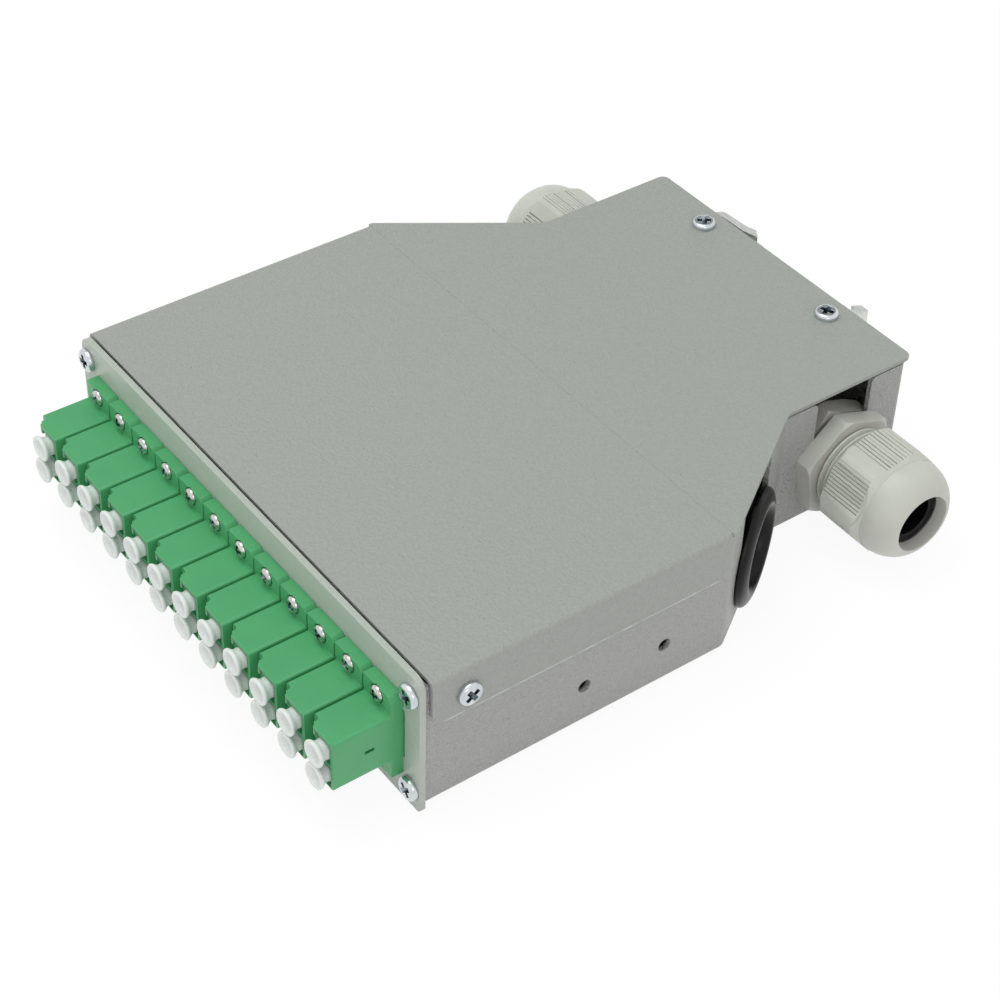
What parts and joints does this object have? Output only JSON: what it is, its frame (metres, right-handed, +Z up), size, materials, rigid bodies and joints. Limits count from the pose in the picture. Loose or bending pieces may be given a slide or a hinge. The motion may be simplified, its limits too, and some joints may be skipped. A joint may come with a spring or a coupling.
{
  "type": "fibre distribution box",
  "caption": "Flat sheet-metal fibre distribution box for a 35 mm rail, with a row of green duplex adapters, dust caps, two cable glands and two grommets",
  "frame": {"origin": "the middle of the case's footprint, on the tray's underside; the glands, adapters and clip stand outside that footprint", "axes": "+X to the right along the row of adapters, +Y from the front panel to the rear wall, +Z up through the cover, with the box lying on its tray"},
  "size_m": [0.143, 0.1747, 0.0372],
  "materials": {
    "tray_paint": "fine texture powder coat, light grey",
    "cover_paint": "leather texture powder coat, greenish grey",
    "panel_paint": "smooth powder coat, light grey",
    "adapter_green": "moulded, lightly polished",
    "cap_white": "soft translucent moulding",
    "gland_plastic": "moulded polyamide, off-white",
    "black_rubber": "smooth moulded rubber",
    "zinc": "bright zinc plate",
    "nickel": "bright nickel plate",
    "clip_aluminium": "extruded and sawn, plain",
    "tray_plastic": "moulded, light grey",
    "ceramic": "zirconia, white"
  },
  "bodies": {
    "box": {"base_tray": "tray_paint", "top_cover": "cover_paint", "front_panel": "panel_paint", "adapter_01": "adapter_green", "adapter_02": "adapter_green", "adapter_03": "adapter_green", "adapter_04": "adapter_green", "adapter_05": "adapter_green", "adapter_06": "adapter_green", "adapter_07": "adapter_green", "adapter_08": "adapter_green", "adapter_09": "adapter_green", "adapter_10": "adapter_green", "adapter_11": "adapter_green", "adapter_12": "adapter_green", "adapter_screws": "nickel", "panel_screws": "zinc", "cover_screws": "zinc", "alignment_sleeves": "ceramic", "gland_body_left": "gland_plastic", "gland_body_right": "gland_plastic", "gland_lock_nut_left": "gland_plastic", "gland_lock_nut_right": "gland_plastic", "grommet_left": "black_rubber", "grommet_right": "black_rubber", "rail_clip": "clip_aluminium", "rail_clip_screws": "zinc", "splice_tray": "tray_plastic", "splice_holders": "tray_plastic", "tray_standoffs": "zinc", "tray_screws": "zinc"},
    "cap_01a": {"dust_cap_01a": "cap_white"},
    "cap_01b": {"dust_cap_01b": "cap_white"},
    "cap_02a": {"dust_cap_02a": "cap_white"},
    "cap_02b": {"dust_cap_02b": "cap_white"},
    "cap_03a": {"dust_cap_03a": "cap_white"},
    "cap_03b": {"dust_cap_03b": "cap_white"},
    "cap_04a": {"dust_cap_04a": "cap_white"},
    "cap_04b": {"dust_cap_04b": "cap_white"},
    "cap_05a": {"dust_cap_05a": "cap_white"},
    "cap_05b": {"dust_cap_05b": "cap_white"},
    "cap_06a": {"dust_cap_06a": "cap_white"},
    "cap_06b": {"dust_cap_06b": "cap_white"},
    "cap_07a": {"dust_cap_07a": "cap_white"},
    "cap_07b": {"dust_cap_07b": "cap_white"},
    "cap_08a": {"dust_cap_08a": "cap_white"},
    "cap_08b": {"dust_cap_08b": "cap_white"},
    "cap_09a": {"dust_cap_09a": "cap_white"},
    "cap_09b": {"dust_cap_09b": "cap_white"},
    "cap_10a": {"dust_cap_10a": "cap_white"},
    "cap_10b": {"dust_cap_10b": "cap_white"},
    "cap_11a": {"dust_cap_11a": "cap_white"},
    "cap_11b": {"dust_cap_11b": "cap_white"},
    "cap_12a": {"dust_cap_12a": "cap_white"},
    "cap_12b": {"dust_cap_12b": "cap_white"},
    "seal_left": {"gland_seal_left": "black_rubber"},
    "nut_left": {"gland_nut_left": "gland_plastic"},
    "seal_right": {"gland_seal_right": "black_rubber"},
    "nut_right": {"gland_nut_right": "gland_plastic"}
  },
  "joints": [
    {"name": "cap_pull_01a", "type": "slide", "parent": "box", "child": "cap_01a", "axis": [0, -1, 0], "range_m": [0, 0.012]},
    {"name": "cap_pull_01b", "type": "slide", "parent": "box", "child": "cap_01b", "axis": [0, -1, 0], "range_m": [0, 0.012]},
    {"name": "cap_pull_02a", "type": "slide", "parent": "box", "child": "cap_02a", "axis": [0, -1, 0], "range_m": [0, 0.012]},
    {"name": "cap_pull_02b", "type": "slide", "parent": "box", "child": "cap_02b", "axis": [0, -1, 0], "range_m": [0, 0.012]},
    {"name": "cap_pull_03a", "type": "slide", "parent": "box", "child": "cap_03a", "axis": [0, -1, 0], "range_m": [0, 0.012]},
    {"name": "cap_pull_03b", "type": "slide", "parent": "box", "child": "cap_03b", "axis": [0, -1, 0], "range_m": [0, 0.012]},
    {"name": "cap_pull_04a", "type": "slide", "parent": "box", "child": "cap_04a", "axis": [0, -1, 0], "range_m": [0, 0.012]},
    {"name": "cap_pull_04b", "type": "slide", "parent": "box", "child": "cap_04b", "axis": [0, -1, 0], "range_m": [0, 0.012]},
    {"name": "cap_pull_05a", "type": "slide", "parent": "box", "child": "cap_05a", "axis": [0, -1, 0], "range_m": [0, 0.012]},
    {"name": "cap_pull_05b", "type": "slide", "parent": "box", "child": "cap_05b", "axis": [0, -1, 0], "range_m": [0, 0.012]},
    {"name": "cap_pull_06a", "type": "slide", "parent": "box", "child": "cap_06a", "axis": [0, -1, 0], "range_m": [0, 0.012]},
    {"name": "cap_pull_06b", "type": "slide", "parent": "box", "child": "cap_06b", "axis": [0, -1, 0], "range_m": [0, 0.012]},
    {"name": "cap_pull_07a", "type": "slide", "parent": "box", "child": "cap_07a", "axis": [0, -1, 0], "range_m": [0, 0.012]},
    {"name": "cap_pull_07b", "type": "slide", "parent": "box", "child": "cap_07b", "axis": [0, -1, 0], "range_m": [0, 0.012]},
    {"name": "cap_pull_08a", "type": "slide", "parent": "box", "child": "cap_08a", "axis": [0, -1, 0], "range_m": [0, 0.012]},
    {"name": "cap_pull_08b", "type": "slide", "parent": "box", "child": "cap_08b", "axis": [0, -1, 0], "range_m": [0, 0.012]},
    {"name": "cap_pull_09a", "type": "slide", "parent": "box", "child": "cap_09a", "axis": [0, -1, 0], "range_m": [0, 0.012]},
    {"name": "cap_pull_09b", "type": "slide", "parent": "box", "child": "cap_09b", "axis": [0, -1, 0], "range_m": [0, 0.012]},
    {"name": "cap_pull_10a", "type": "slide", "parent": "box", "child": "cap_10a", "axis": [0, -1, 0], "range_m": [0, 0.012]},
    {"name": "cap_pull_10b", "type": "slide", "parent": "box", "child": "cap_10b", "axis": [0, -1, 0], "range_m": [0, 0.012]},
    {"name": "cap_pull_11a", "type": "slide", "parent": "box", "child": "cap_11a", "axis": [0, -1, 0], "range_m": [0, 0.012]},
    {"name": "cap_pull_11b", "type": "slide", "parent": "box", "child": "cap_11b", "axis": [0, -1, 0], "range_m": [0, 0.012]},
    {"name": "cap_pull_12a", "type": "slide", "parent": "box", "child": "cap_12a", "axis": [0, -1, 0], "range_m": [0, 0.012]},
    {"name": "cap_pull_12b", "type": "slide", "parent": "box", "child": "cap_12b", "axis": [0, -1, 0], "range_m": [0, 0.012]},
    {"name": "seal_travel_left", "type": "slide", "parent": "box", "child": "seal_left", "axis": [-1, 0, 0], "range_m": [-0.0041, 0.0051]},
    {"name": "nut_turn_left", "type": "hinge", "parent": "seal_left", "child": "nut_left", "pos_m": [-0.04335, 0.0547, 0.0144], "axis": [-1, 0, 0], "range_deg": [-720, 900]},
    {"name": "seal_travel_right", "type": "slide", "parent": "box", "child": "seal_right", "axis": [1, 0, 0], "range_m": [-0.0041, 0.0051]},
    {"name": "nut_turn_right", "type": "hinge", "parent": "seal_right", "child": "nut_right", "pos_m": [0.04335, 0.0547, 0.0144], "axis": [1, 0, 0], "range_deg": [-720, 900]}
  ],
  "couplings": [
    {"joint": "seal_travel_left", "follows": "nut_turn_left", "m_per_rad": 0.00031831},
    {"joint": "seal_travel_right", "follows": "nut_turn_right", "m_per_rad": 0.00031831}
  ]
}
